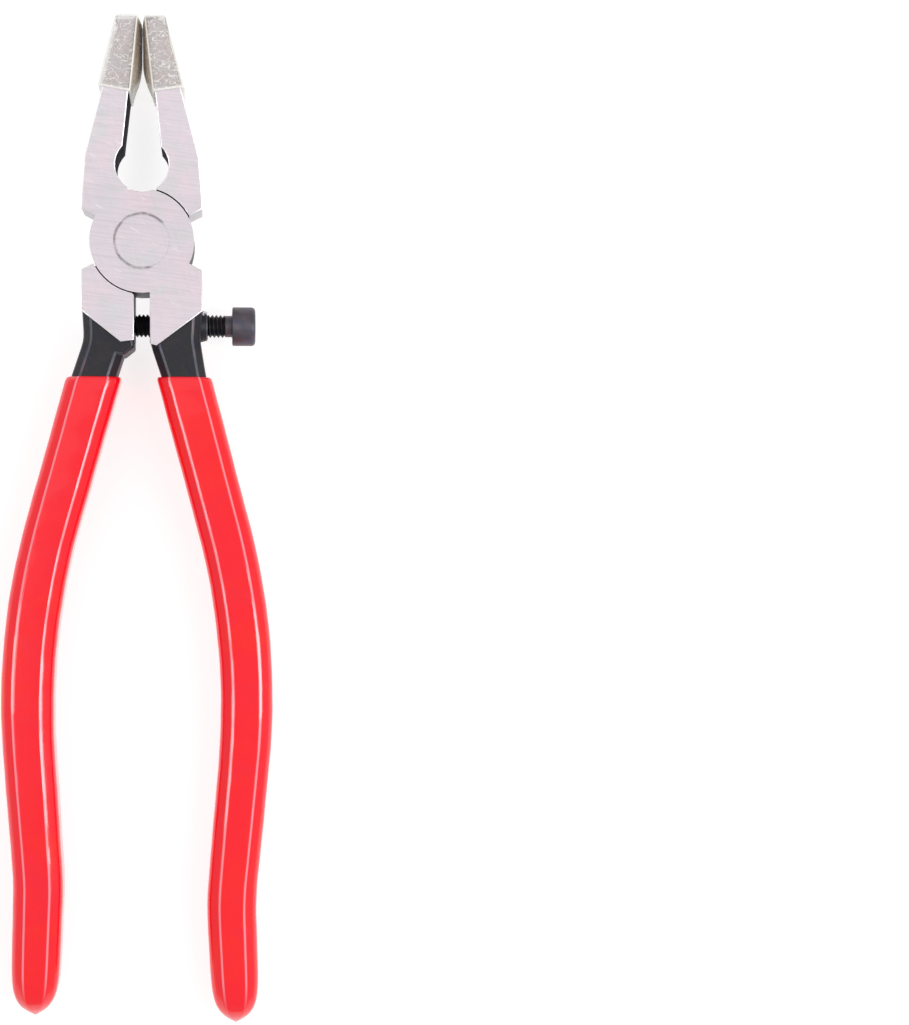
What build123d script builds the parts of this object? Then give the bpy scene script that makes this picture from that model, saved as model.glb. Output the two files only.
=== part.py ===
from build123d import *
import os

# Glass running pliers with capped, flared jaws.
# Millimetres. The origin is on the pivot axis, half way through the head. +Y points to the jaw tips,
# +X to the side with the stop screw's head, +Z up along the pivot axis.
# Lever A has the jaw on the -X side and the handle on the +X side. Lever B is the other way round.

# Head and lap joint
head_t = 12.6             # thickness of the ground head
disc_r = 10.6             # joint disc, half the head's thickness on each lever
lap_gap = 0.10            # gap between the two discs
seam_clear = 0.25         # gap between a disc and the hollow that it turns in
shoulder_x = 12.3         # jaw shoulder, outermost point
shoulder_y = 6.6
handle_shoulder_x = 12.15  # handle shoulder, below the disc
handle_shoulder_y = -5.9
notch_slope = 0.52        # rise of both shoulders towards the outside
face_side_x = 12.35       # where the ground face ends at the outer edge
face_side_y = -14.2
face_toe_x = 3.0          # lowest point of lever A's ground face
face_toe_y = -21.3
face_toe_b_x = 4.3        # and of lever B's
face_toe_b_y = -20.6
face_toe_rise = 0.4       # rise from there to the inner edge
shoulder_reach = 2.0      # the shoulders run this far in under the other lever's disc

# Rivet
rivet_r = 4.0             # shaft
rivet_head_r = 5.55       # countersunk head, ground flush
rivet_csk = 1.55          # depth of the countersunk head
rivet_clear = 0.05        # running clearance in lever B

# Jaws
tip_y = 43.8              # steel jaw tip
tip_w = 3.25              # width of the steel tip
knee_x = 11.5             # where the outer edge starts to lean in
knee_y = 17.0
jaw_lean = 0.1095         # opening of each inner face per mm below the tip
throat_y = 15.35          # centre of the round throat
throat_r = 5.4
flare_start_y = 9.0       # the jaws widen along Z from here
flare_mid_y = 30.8
flare_mid_half = 8.6      # half width of the steel there
tip_half = 11.3           # half width of the steel at the tip

# Jaw caps
cap_wall = 1.0
cap_gap = 0.12            # gap between the closed caps
cap_low_y = 29.3          # lower edge of a cap, at the middle
cap_slope = 0.19          # rise of that edge towards the outside

# Handles: the middle line of each grip as corners of straight runs, and the grip's width there
grip_t = 12.5             # thickness of a grip along Z
grip_wall = 1.1
grip_edge_r = 3.0         # rounding of the grip's long edges
grip_end_r = 4.3
bend_r = 140.0            # long bend of the handle
waist_r = 60.0            # gentle counter-bend near the end
mouth_y = -27.6           # top edge of both grips
mid_a = [(8.45, mouth_y), (23.0, -82.6), (18.1, -135.1), (19.1, -158.6)]
mid_b = [(9.80, mouth_y), (24.6, -80.6), (21.0, -131.0), (21.8, -156.2)]
grip_w = [11.3, 10.9, 10.1, 9.8]
tang_short = 12.0         # the steel tang ends this far before the grip does
nub_h = 1.5               # drip left at the end of a dipped grip
nub_r = 1.9
nub_root = 1.5
nub_taper = 24

# Shanks
shank_t = 11.4            # black shank, below the ground faces
shank_edge = 1.6          # chamfer along the shank
shank_blend_r = 8.0
mouth_blend_r = 50.0
tang_end_r = 2.0
shank_root_y = -14.0      # top of the shank, hidden in the head
shank_waist_x = 11.8      # narrowest outer point
shank_waist_y = -20.0
handle_gap_a = 1.6        # inner edge of lever A's handle from the middle
handle_gap_low_y = -21.5
handle_gap_flare = 0.25   # the gap is this much wider at its low end, on each side

# Stop pad on lever B
pad_x = 1.6               # pad face from the middle
pad_low_y = -21.7
pad_heel_x = 3.6
pad_heel_y = -23.3
pad_back_x = 3.0          # shank behind the pad
pad_root_x = 7.0
pad_top_y = -13.0
pad_corner_r = 0.7
pad_edge = 0.5

# Stop screw
screw_y = -16.85
screw_r = 2.4             # over the thread
screw_neck_r = 2.2
screw_neck_len = 1.5
screw_len = 19.85         # under the head
screw_head_r = 4.0
screw_head_h = 4.75
screw_head_round = 0.5
socket_af = 4.0           # hex socket across flats
socket_depth = 2.5
screw_tip_chamfer = 0.5
bore_clear = 0.05         # running clearance in the threaded bore
tip_clear = 0.08          # between the screw's tip and the pad at rest
boss_r = 3.5
boss_taper = 13
boss_root_x = 11.0
boss_face_x = 13.3

half_t = head_t / 2
half_lap = lap_gap / 2
cap_lean = (1 + jaw_lean ** 2) ** 0.5 + jaw_lean  # a cap's wall at its tip corner, for a wall of 1
inner_tip_x = cap_wall * cap_lean + cap_gap / 2
outer_tip_x = inner_tip_x + tip_w
big = 4 * head_t          # longer than any cut through the head
spare = 2.0               # a cutting shape runs past what it cuts by this much
pad_face_x = -pad_x
tip_x = pad_face_x + tip_clear
screw_seat_x = tip_x + screw_len


def inner_x(y):
    """Distance of a jaw's inner face from the middle at height y."""
    return inner_tip_x + (tip_y - y) * jaw_lean


def shoulder_point(x, y, x_at, sign):
    """Point on a shoulder's line at x_at."""
    return (x_at, y - sign * notch_slope * (x - x_at))


def jaw_points(side):
    """Corners of the jaw on the given side (-1 left, +1 right)."""
    inside = shoulder_point(shoulder_x, shoulder_y, disc_r - shoulder_reach, 1)
    corners = [
        (0, 0),
        (inner_x(throat_y), throat_y),
        (inner_tip_x, tip_y),
        (outer_tip_x, tip_y),
        (knee_x, knee_y),
        (shoulder_x, shoulder_y),
        inside,
    ]
    return [(side * x, y) for x, y in corners]


def head_points(side, inner, low_x, low_y):
    """Corners of the ground face on the handle's side of the head."""
    inside = shoulder_point(handle_shoulder_x, handle_shoulder_y, disc_r - shoulder_reach, -1)
    corners = [
        (0, 0),
        inside,
        (handle_shoulder_x, handle_shoulder_y),
        (face_side_x, face_side_y),
        (low_x, low_y),
        (inner, low_y + face_toe_rise),
        (inner, -disc_r),
    ]
    return [(side * x, y) for x, y in corners]


def edge_line(middle, inset, way):
    """Outer (way +1) or inner (way -1) corners of a handle, inset from the grip's skin."""
    return [(x + way * (w / 2 - inset), y) for (x, y), w in zip(middle, grip_w)]


def side_sketch(grow, low_y):
    """Widening of the jaws along Z, seen from the side: Y across the sketch and Z up it."""
    top = tip_y + grow
    over_top = top + spare
    with BuildSketch() as face:
        with BuildLine():
            for way in (1, -1):
                start = (flare_start_y, way * (half_t + grow))
                middle = (flare_mid_y, way * (flare_mid_half + grow))
                ThreePointArc(start, middle, (top, way * (tip_half + grow)))
                Line((low_y, way * (half_t + grow)), start)
                Line((top, way * (tip_half + grow)), (over_top, way * (tip_half + grow)))
            Line((over_top, tip_half + grow), (over_top, -tip_half - grow))
            Line((low_y, half_t + grow), (low_y, -half_t - grow))
        make_face()
    return face.sketch


def side_slab(grow):
    """Solid of the side view, to be intersected with a jaw."""
    face = side_sketch(grow, -big)
    with BuildPart() as slab:
        with BuildSketch(Plane.YZ):
            add(face)
        extrude(amount=big, both=True)
    return slab.part


def steel_handle(side, middle, root):
    """Black shank and the tang inside the grip, with chamfered long edges."""
    end_y = middle[-1][1] + tang_short
    outer = edge_line(middle, grip_wall, 1)
    inner = edge_line(middle, grip_wall, -1)
    outer[-1] = (outer[-1][0], end_y)
    inner[-1] = (inner[-1][0], end_y)
    corners = [(handle_shoulder_x, shank_root_y), (shank_waist_x, shank_waist_y)]
    corners += outer + inner[::-1] + root
    radii = [0, shank_blend_r, mouth_blend_r, bend_r, waist_r, tang_end_r]
    radii += [tang_end_r, waist_r, bend_r, mouth_blend_r, shank_blend_r, 0]
    with BuildPart() as bar:
        with BuildSketch():
            with BuildLine():
                FilletPolyline(*[(side * x, y) for x, y in corners], radius=radii, close=True)
            make_face()
        extrude(amount=shank_t / 2, both=True)
        flats = bar.faces().sort_by(Axis.Z)
        chamfer(flats[0].edges() + flats[-1].edges(), length=shank_edge)
    return bar.part


def grip_skin(side, middle):
    """Outer shape of a dipped grip: flat faces, rounded long edges, rounded end with its drip."""
    outer = edge_line(middle, 0, 1)
    inner = edge_line(middle, 0, -1)
    radii = [0, bend_r, waist_r, grip_end_r, grip_end_r, waist_r, bend_r, 0]
    end_x, end_y = side * middle[-1][0], middle[-1][1]
    with BuildPart() as skin:
        with BuildSketch():
            with BuildLine():
                FilletPolyline(*[(side * x, y) for x, y in outer + inner[::-1]], radius=radii, close=True)
            make_face()
        extrude(amount=grip_t / 2, both=True)
        flats = skin.faces().sort_by(Axis.Z)
        long_edges = flats[0].edges() + flats[-1].edges()
        fillet(long_edges.filter_by(lambda e: e.center().Y < mouth_y - spare / 2), grip_edge_r)
        # The drip is a short cone that points down the handle
        with BuildSketch(Plane.XZ.offset(-end_y - nub_root)):
            with Locations((end_x, 0)):
                Circle(nub_r)
        extrude(amount=nub_root + nub_h, taper=nub_taper)
    return skin.part


def rivet_sketch(grow):
    """Half section of the rivet, or of the hole that holds it: radius across and Z up."""
    over = spare if grow > 0 else 0.0
    face_z = half_t + over
    wide = rivet_head_r + grow + over * (rivet_head_r - rivet_r) / rivet_csk
    neck_z = half_t - rivet_csk
    with BuildSketch() as face:
        with BuildLine():
            Polyline(
                (0, -face_z),
                (wide, -face_z),
                (rivet_r + grow, -neck_z),
                (rivet_r + grow, neck_z),
                (wide, face_z),
                (0, face_z),
                close=True,
            )
        make_face()
    return face.sketch


def lever(side, head, bar, slab, hole):
    """One forged lever: jaw on the -side, handle on the side, disc on the face that points side * Z."""
    with BuildPart() as body:
        with BuildSketch():
            with BuildLine():
                Polyline(*jaw_points(-side), close=True)
            make_face()
        extrude(amount=tip_half + spare, both=True)
        with BuildSketch():
            with BuildLine():
                Polyline(*head, close=True)
            make_face()
        extrude(amount=half_t, both=True)
        add(slab, mode=Mode.INTERSECT)
        add(bar)
        # Hollow for the other lever's disc, then this lever's own disc
        with BuildSketch(Plane.XY.offset(side * half_lap)):
            Circle(disc_r + seam_clear)
        extrude(amount=-side * big, mode=Mode.SUBTRACT)
        with BuildSketch(Plane.XY.offset(side * half_lap)):
            Circle(disc_r)
        extrude(amount=side * (half_t - half_lap))
        with BuildSketch():
            with Locations((0, throat_y)):
                Circle(throat_r)
        extrude(amount=big, both=True, mode=Mode.SUBTRACT)
        with BuildSketch(Plane.XZ):
            add(hole)
        revolve(axis=Axis.Z, mode=Mode.SUBTRACT)
    return body.part


def jaw_sleeve(side, slab):
    """Outer shape of a soft cap: the jaw grown by the wall, above the cap's lower edge."""
    far = shoulder_x + big
    with BuildPart() as cap:
        with BuildSketch():
            with BuildLine():
                Polyline(*jaw_points(side), close=True)
            make_face()
            offset(amount=cap_wall, kind=Kind.INTERSECTION)
        extrude(amount=tip_half + cap_wall + spare, both=True)
        add(slab, mode=Mode.INTERSECT)
        with BuildSketch():
            with BuildLine():
                Polyline(
                    (-side * big, cap_low_y),
                    (0, cap_low_y),
                    (side * far, cap_low_y + far * cap_slope),
                    (side * far, tip_y + big),
                    (-side * big, tip_y + big),
                    close=True,
                )
            make_face()
        extrude(amount=big, both=True, mode=Mode.INTERSECT)
    return cap.part


def write(piece, node):
    """Label one finished piece and write its file."""
    piece.label = node
    export_step(piece, f"parts/{node}.step")


os.makedirs("parts", exist_ok=True)

head_a = head_points(1, handle_gap_a, face_toe_x, face_toe_y)
head_b = head_points(-1, pad_x, face_toe_b_x, face_toe_b_y)
root_a = [(handle_gap_a + handle_gap_flare, handle_gap_low_y), (handle_gap_a, shank_root_y)]
root_b = [(pad_back_x + handle_gap_flare, handle_gap_low_y), (pad_back_x, shank_root_y)]
bar_a = steel_handle(1, mid_a, root_a)
bar_b = steel_handle(-1, mid_b, root_b)
steel_slab = side_slab(0)
cap_slab = side_slab(cap_wall)
rivet_half = rivet_sketch(0)
forged_a = lever(1, head_a, bar_a, steel_slab, rivet_half)
forged_b = lever(-1, head_b, bar_b, steel_slab, rivet_sketch(rivet_clear))
skin_a = grip_skin(1, mid_a)
skin_b = grip_skin(-1, mid_b)
sleeve_a = jaw_sleeve(-1, cap_slab)
sleeve_b = jaw_sleeve(1, cap_slab)

with BuildPart() as lever_a:
    add(forged_a)
    # Low boss round the screw's hole, then the hole
    with BuildSketch(Plane.YZ.offset(boss_root_x)):
        with Locations((screw_y, 0)):
            Circle(boss_r)
    extrude(amount=boss_face_x - boss_root_x, taper=boss_taper)
    with BuildSketch(Plane.YZ):
        with Locations((screw_y, 0)):
            Circle(screw_r + bore_clear)
    extrude(amount=big, mode=Mode.SUBTRACT)

with BuildPart() as stop_pad:
    # Block that stands in from lever B's shank for the screw to rest on
    with BuildSketch():
        with BuildLine():
            FilletPolyline(
                (-pad_root_x, pad_top_y),
                (-pad_x, pad_top_y),
                (-pad_x, pad_low_y),
                (-pad_heel_x, pad_heel_y),
                (-pad_root_x, pad_heel_y),
                radius=[0, 0, pad_corner_r, pad_corner_r, 0],
                close=True,
            )
        make_face()
    extrude(amount=shank_t / 2, both=True)
    pad_flats = stop_pad.faces().sort_by(Axis.Z)
    chamfer(pad_flats[0].edges() + pad_flats[-1].edges(), length=pad_edge)

with BuildPart() as lever_b:
    add(forged_b)
    add(stop_pad.part)

with BuildPart() as pivot_rivet:
    with BuildSketch(Plane.XZ):
        add(rivet_half)
    revolve(axis=Axis.Z)

with BuildPart() as grip_a:
    add(skin_a)
    add(lever_a.part, mode=Mode.SUBTRACT)

with BuildPart() as grip_b:
    add(skin_b)
    add(lever_b.part, mode=Mode.SUBTRACT)

with BuildPart() as jaw_cap_a:
    add(sleeve_a)
    add(lever_a.part, mode=Mode.SUBTRACT)

with BuildPart() as jaw_cap_b:
    add(sleeve_b)
    add(lever_b.part, mode=Mode.SUBTRACT)

with BuildPart() as stop_screw:
    head_x = screw_seat_x
    with BuildSketch():
        with BuildLine():
            Polyline(
                (tip_x, screw_y),
                (tip_x, screw_y + screw_r - screw_tip_chamfer),
                (tip_x + screw_tip_chamfer, screw_y + screw_r),
                (head_x - screw_neck_len, screw_y + screw_r),
                (head_x - screw_neck_len + screw_r - screw_neck_r, screw_y + screw_neck_r),
                (head_x, screw_y + screw_neck_r),
                (head_x, screw_y + screw_head_r),
                (head_x + screw_head_h - screw_head_round, screw_y + screw_head_r),
                (head_x + screw_head_h, screw_y + screw_head_r - screw_head_round),
                (head_x + screw_head_h, screw_y),
                close=True,
            )
        make_face()
    revolve(axis=Axis((0, screw_y, 0), (1, 0, 0)))
    with BuildSketch(Plane.YZ.offset(head_x + screw_head_h)):
        with Locations((screw_y, 0)):
            RegularPolygon(radius=socket_af / 2, side_count=6, major_radius=False)
    extrude(amount=-socket_depth, mode=Mode.SUBTRACT)

write(lever_a.part, "lever_a")
write(lever_b.part, "lever_b")
write(pivot_rivet.part, "pivot_rivet")
write(grip_a.part, "grip_a")
write(grip_b.part, "grip_b")
write(jaw_cap_a.part, "jaw_cap_a")
write(jaw_cap_b.part, "jaw_cap_b")
write(stop_screw.part, "stop_screw")
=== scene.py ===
import bmesh
import bpy
import math
import numpy as np
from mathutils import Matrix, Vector


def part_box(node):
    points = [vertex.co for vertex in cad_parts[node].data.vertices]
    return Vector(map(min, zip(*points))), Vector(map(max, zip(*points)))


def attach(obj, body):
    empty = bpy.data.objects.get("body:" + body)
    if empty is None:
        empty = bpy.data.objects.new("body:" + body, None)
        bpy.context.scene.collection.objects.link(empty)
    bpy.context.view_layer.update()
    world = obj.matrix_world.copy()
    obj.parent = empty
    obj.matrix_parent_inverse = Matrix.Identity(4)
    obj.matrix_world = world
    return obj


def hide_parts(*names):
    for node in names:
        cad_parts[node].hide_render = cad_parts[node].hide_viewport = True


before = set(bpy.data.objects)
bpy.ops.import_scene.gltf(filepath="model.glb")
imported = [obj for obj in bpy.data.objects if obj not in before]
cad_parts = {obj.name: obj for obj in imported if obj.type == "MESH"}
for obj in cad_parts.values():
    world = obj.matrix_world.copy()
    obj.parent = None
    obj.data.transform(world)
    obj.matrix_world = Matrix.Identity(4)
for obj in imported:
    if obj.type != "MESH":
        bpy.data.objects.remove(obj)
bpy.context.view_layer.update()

# Glass running pliers: ground steel head and jaws, black forged shanks, red dipped grips,
# soft clear caps on the jaws and a black stop screw. Sizes below are in millimetres.
MM = 0.001
LEFT, RIGHT = -1, 1

# Jaws, as the steel is cut
tip_y = 43.8
jaw_lean = 0.1095
tip_w = 3.25
knee = (11.5, 17.0)
flare = ((9.0, 6.3), (30.8, 8.6), (43.8, 11.3))

# Soft caps: the wall, where the lip lies, and the crowned inner side
cap_wall = 1.0
cap_gap = 0.12
cap_low_y = 29.3
cap_slope = 0.19
cap_crown = 0.6
crown_from = 0.3
lip_rise = 4.0
squash_len = 7.0
squash_gap = 0.06
ease_len = 6.0
ease_share = 0.7
inner_tip_x = cap_wall * (math.hypot(1, jaw_lean) + jaw_lean) + cap_gap / 2

# Grips: the middle line's corners, the width at each, and the two bends
mouth_y = -27.6
middle_a = [(8.45, mouth_y), (23.0, -82.6), (18.1, -135.1), (19.1, -158.6)]
middle_b = [(9.80, mouth_y), (24.6, -80.6), (21.0, -131.0), (21.8, -156.2)]
grip_w = [11.3, 10.9, 10.1, 9.8]
grip_t = 12.5
bend_r = 140.0
waist_r = 60.0
nub_h = 1.5

# Grips' section and drawn-out ends
drip = 0.6
slant_w = 2.5
slant_h = 2.1
ridge_cut = 0.6
shoulder_cut = 1.3
blunt_cut = 1.5
end_len = 13.0
end_steep = 0.42

# Stop screw
screw_y = -16.85
screw_tip_x = -1.52
screw_seat_x = 18.33
screw_neck_len = 1.5
screw_r = 2.4
thread_root_r = 1.92
screw_neck_r = 2.2
thread_pitch = 0.83
thread_play = 0.04
head_r = 4.0
head_h = 4.75
socket_af = 4.0
socket_depth = 2.5

# Rivet
rivet_r = 5.55
rivet_shaft_r = 4.0
rivet_csk = 1.55
rivet_rim = 0.03
head_half = 6.3

# Points nearer than this are one point: on a lever, and on any other piece
LEVER_WELD = 0.002 * MM
WELD = 0.0005 * MM


# ---------------------------------------------------------------- wiring of node trees

def feed(tree, socket, value):
    """Links a socket's output to an input, or sets the input to a plain value."""
    if isinstance(value, bpy.types.NodeSocket):
        tree.links.new(value, socket)
    else:
        socket.default_value = value


def put(tree, kind, inputs=None, **settings):
    """A node with its settings made and its inputs linked or set."""
    node = tree.nodes.new(kind)
    for name, value in settings.items():
        setattr(node, name, value)
    for name, value in (inputs or {}).items():
        feed(tree, node.inputs[name], value)
    return node


def sums(tree, operation, first, second=0.0):
    """Result of one math node."""
    return put(tree, "ShaderNodeMath", {0: first, 1: second}, operation=operation).outputs[0]


def vector_sums(tree, operation, first, second):
    """Result of one vector math node."""
    return put(tree, "ShaderNodeVectorMath", {0: first, 1: second}, operation=operation).outputs[0]


def step(tree, value, low, high, start=0.0, end=1.0):
    """Soft step: start below low, end above high."""
    sockets = {"Value": value, "From Min": low, "From Max": high, "To Min": start, "To Max": end}
    return put(tree, "ShaderNodeMapRange", sockets, interpolation_type="SMOOTHSTEP").outputs[0]


def mix(tree, share, first, second):
    """Blend of two colours: the first at share 0, the second at share 1."""
    node = put(tree, "ShaderNodeMix", {0: share, 6: first, 7: second}, data_type="RGBA")
    return node.outputs[2]


def noise(tree, place, scale, detail=2.0, rough=0.5, distort=0.0):
    """Smooth random values between 0 and 1."""
    sockets = {"Vector": place, "Scale": scale, "Detail": detail, "Roughness": rough,
               "Distortion": distort}
    return put(tree, "ShaderNodeTexNoise", sockets).outputs["Fac"]


def effect(name, inputs, outputs):
    """Empty shader group with named sockets: its tree, its input sockets and its output sockets."""
    tree = bpy.data.node_groups.new(name, "ShaderNodeTree")
    for label, kind, value in inputs:
        socket = tree.interface.new_socket(label, in_out="INPUT", socket_type=kind)
        socket.default_value = value
    for label, kind in outputs:
        tree.interface.new_socket(label, in_out="OUTPUT", socket_type=kind)
    return tree, tree.nodes.new("NodeGroupInput").outputs, tree.nodes.new("NodeGroupOutput").inputs


def use(tree, group, **inputs):
    """Outputs of a shader group placed in a material, its inputs named with _ for a space."""
    node = tree.nodes.new("ShaderNodeGroup")
    node.node_tree = group
    for label, value in inputs.items():
        feed(tree, node.inputs[label.replace("_", " ")], value)
    return node.outputs


VALUE, PLACE, COLOUR = "NodeSocketFloat", "NodeSocketVector", "NodeSocketColor"


def make_brushed():
    """Fine parallel grinding lines, in two crossing directions, with a few deeper scratches."""
    tree, given, out = effect(
        "brushed lines",
        [("Place", PLACE, (0, 0, 0)), ("Turn", VALUE, 0.0), ("Fineness", VALUE, 5.0),
         ("Cross", VALUE, 0.35)],
        [("Lines", VALUE), ("Scratches", VALUE)],
    )
    scratch_turn, scratch_stretch, scratch_scale = 0.5, 0.11, 1.9

    def drawn_out(angle, stretch):
        """The place, turned about Z and stretched along its new X."""
        turned = put(tree, "ShaderNodeVectorRotate", {"Vector": given["Place"], "Angle": angle},
                     rotation_type="Z_AXIS").outputs[0]
        return vector_sums(tree, "MULTIPLY", turned, (stretch, 1.0, 1.0))

    runs = []
    for turn, stretch in ((0.0, 0.045), (1.15, 0.07)):
        drawn = drawn_out(sums(tree, "ADD", given["Turn"], turn), stretch)
        runs.append(noise(tree, drawn, given["Fineness"], 3.0, 0.65))
    crossed = sums(tree, "MULTIPLY", sums(tree, "SUBTRACT", runs[1], 0.5), given["Cross"])
    tree.links.new(sums(tree, "ADD", runs[0], crossed), out["Lines"])
    scratches = noise(tree, drawn_out(scratch_turn, scratch_stretch), scratch_scale)
    tree.links.new(step(tree, scratches, 0.66, 0.72), out["Scratches"])
    return tree


def make_blotches():
    """Soft patches of two tints over a base colour, as on hand-ground steel or dipped plastic."""
    grey = (0.5, 0.5, 0.5, 1)
    tree, given, out = effect(
        "soft blotches",
        [("Place", PLACE, (0, 0, 0)), ("Size", VALUE, 0.2), ("Base", COLOUR, grey),
         ("Warm", COLOUR, grey), ("Cool", COLOUR, grey), ("Share", VALUE, 0.5)],
        [("Color", COLOUR)],
    )
    elsewhere, second_size = (31.0, 17.0, 5.0), 1.7
    first = noise(tree, given["Place"], given["Size"], 3.0, 0.55, 0.4)
    shifted = vector_sums(tree, "ADD", given["Place"], elsewhere)
    size = sums(tree, "MULTIPLY", given["Size"], second_size)
    second = noise(tree, shifted, size, 3.0, 0.55, 0.4)
    warm = sums(tree, "MULTIPLY", step(tree, first, 0.45, 0.66), given["Share"])
    cool = sums(tree, "MULTIPLY", step(tree, second, 0.46, 0.68), given["Share"])
    warmed = mix(tree, warm, given["Base"], given["Warm"])
    tree.links.new(mix(tree, cool, warmed, given["Cool"]), out["Color"])
    return tree


def make_grain():
    """Fine pitted grain with pale specks, as on forged or oxidised steel."""
    tree, given, out = effect(
        "fine grain",
        [("Place", PLACE, (0, 0, 0)), ("Fineness", VALUE, 2.5), ("Specks", VALUE, 0.5)],
        [("Height", VALUE), ("Specks", VALUE)],
    )
    finer, fine_share = 4.2, 0.4
    coarse = noise(tree, given["Place"], given["Fineness"], 4.0, 0.6)
    fine = noise(tree, given["Place"], sums(tree, "MULTIPLY", given["Fineness"], finer))
    height = sums(tree, "ADD", coarse, sums(tree, "MULTIPLY", fine, fine_share))
    tree.links.new(height, out["Height"])
    speck = step(tree, fine, 0.68, 0.78)
    tree.links.new(sums(tree, "MULTIPLY", speck, given["Specks"]), out["Specks"])
    return tree


def make_ring():
    """Thin line where the rivet's head meets the disc: fades out on one side of the front face."""
    tree, given, out = effect(
        "rivet line",
        [("Place", PLACE, (0, 0, 0)), ("Radius", VALUE, 5.55), ("Width", VALUE, 0.2)],
        [("Mask", VALUE)],
    )
    wander_share, fade_turn, face_depth = 0.2, 0.25, 0.4
    part = put(tree, "ShaderNodeSeparateXYZ", {0: given["Place"]}).outputs
    squares = [sums(tree, "POWER", part[axis], 2.0) for axis in (0, 1)]
    reach = sums(tree, "SQRT", sums(tree, "ADD", *squares))
    waves = sums(tree, "SUBTRACT", noise(tree, given["Place"], 0.45), 0.5)
    wandered = sums(tree, "ADD", reach, sums(tree, "MULTIPLY", waves, wander_share))
    off = sums(tree, "ABSOLUTE", sums(tree, "SUBTRACT", wandered, given["Radius"]))
    line = step(tree, sums(tree, "DIVIDE", off, given["Width"]), 0.3, 1.0, 1.0, 0.0)
    turn = sums(tree, "ADD", sums(tree, "ARCTAN2", part[1], part[0]), fade_turn)
    shut = step(tree, sums(tree, "ABSOLUTE", turn), 0.75, 1.15)
    along = sums(tree, "MAXIMUM", shut, sums(tree, "LESS_THAN", part[2], 0.0))
    broken = step(tree, noise(tree, given["Place"], 0.55, 3.0, 0.6), 0.36, 0.62, 0.25, 1.0)
    depth = sums(tree, "ABSOLUTE", part[2])
    near_face = sums(tree, "GREATER_THAN", depth, head_half - face_depth)
    for share in (along, broken, near_face):
        line = sums(tree, "MULTIPLY", line, share)
    tree.links.new(line, out["Mask"])
    return tree


brushed = make_brushed()
blotches = make_blotches()
grain = make_grain()
rivet_line = make_ring()


def new_finish(name):
    """A material with its Principled shader and the place on the piece in millimetres."""
    finish = bpy.data.materials.new(name)
    finish.use_nodes = True
    tree = finish.node_tree
    tree.nodes.clear()
    shader = tree.nodes.new("ShaderNodeBsdfPrincipled")
    put(tree, "ShaderNodeOutputMaterial", {"Surface": shader.outputs[0]})
    spot = put(tree, "ShaderNodeTexCoord").outputs["Object"]
    place = vector_sums(tree, "MULTIPLY", spot, (1 / MM, 1 / MM, 1 / MM))
    return finish, tree, shader, place


def shine(shader, **values):
    """Sets the shader's own plain sockets."""
    for label, value in values.items():
        shader.inputs[label.replace("_", " ")].default_value = value


def bump(tree, shader, height, depth, strength):
    """Small relief, depth in millimetres."""
    sockets = {"Height": height, "Strength": strength, "Distance": depth * MM}
    node = put(tree, "ShaderNodeBump", sockets)
    tree.links.new(node.outputs[0], shader.inputs["Normal"])


def ground_steel(name, base, warm, cool, turn, roughness):
    """Ground bright steel: fine lines, soft warm and cool patches, and the rivet's faint line."""
    line_tone, scratch_tone, ring_tone = (
        (0.50, 0.47, 0.49, 1), (0.92, 0.90, 0.92, 1), (0.24, 0.205, 0.21, 1))
    finish, tree, shader, place = new_finish(name)
    lines = use(tree, brushed, Place=place, Turn=turn, Fineness=2.6, Cross=0.3)
    patches = use(tree, blotches, Place=place, Size=0.11, Base=base, Warm=warm, Cool=cool,
                  Share=0.9)
    ring = use(tree, rivet_line, Place=place, Radius=rivet_r, Width=0.42)["Mask"]
    shade = step(tree, lines["Lines"], 0.32, 0.72, 0.0, 0.34)
    colour = mix(tree, shade, patches["Color"], line_tone)
    colour = mix(tree, sums(tree, "MULTIPLY", lines["Scratches"], 0.45), colour, scratch_tone)
    colour = mix(tree, sums(tree, "MULTIPLY", ring, 0.75), colour, ring_tone)
    tree.links.new(colour, shader.inputs["Base Color"])
    spread = step(tree, lines["Lines"], 0.3, 0.7, roughness - 0.07, roughness + 0.09)
    tree.links.new(spread, shader.inputs["Roughness"])
    relief = sums(tree, "SUBTRACT", lines["Lines"], sums(tree, "MULTIPLY", ring, 2.0))
    bump(tree, shader, relief, 0.018, 0.8)
    shine(shader, Metallic=0.78, Specular_IOR_Level=0.5)
    return finish


def forged_black(name, base, fineness, roughness, metallic, specular=0.6):
    """Black left by forging or oxide: fine grain, pale specks, faint brown and blue casts."""
    speck_tone = (0.30, 0.29, 0.31, 1)
    finish, tree, shader, place = new_finish(name)
    surface = use(tree, grain, Place=place, Fineness=fineness, Specks=0.55)
    brown = tuple(c * k for c, k in zip(base[:3], (1.7, 1.25, 1.25))) + (1,)
    blue = tuple(c * k for c, k in zip(base[:3], (0.85, 0.95, 1.35))) + (1,)
    patches = use(tree, blotches, Place=place, Size=0.28, Base=base, Warm=brown, Cool=blue,
                  Share=0.9)
    colour = mix(tree, surface["Specks"], patches["Color"], speck_tone)
    tree.links.new(colour, shader.inputs["Base Color"])
    spread = step(tree, surface["Height"], 0.45, 0.95, roughness - 0.08, roughness + 0.14)
    tree.links.new(spread, shader.inputs["Roughness"])
    bump(tree, shader, surface["Height"], 0.05, 0.7)
    shine(shader, Metallic=metallic, Specular_IOR_Level=specular)
    return finish


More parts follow.
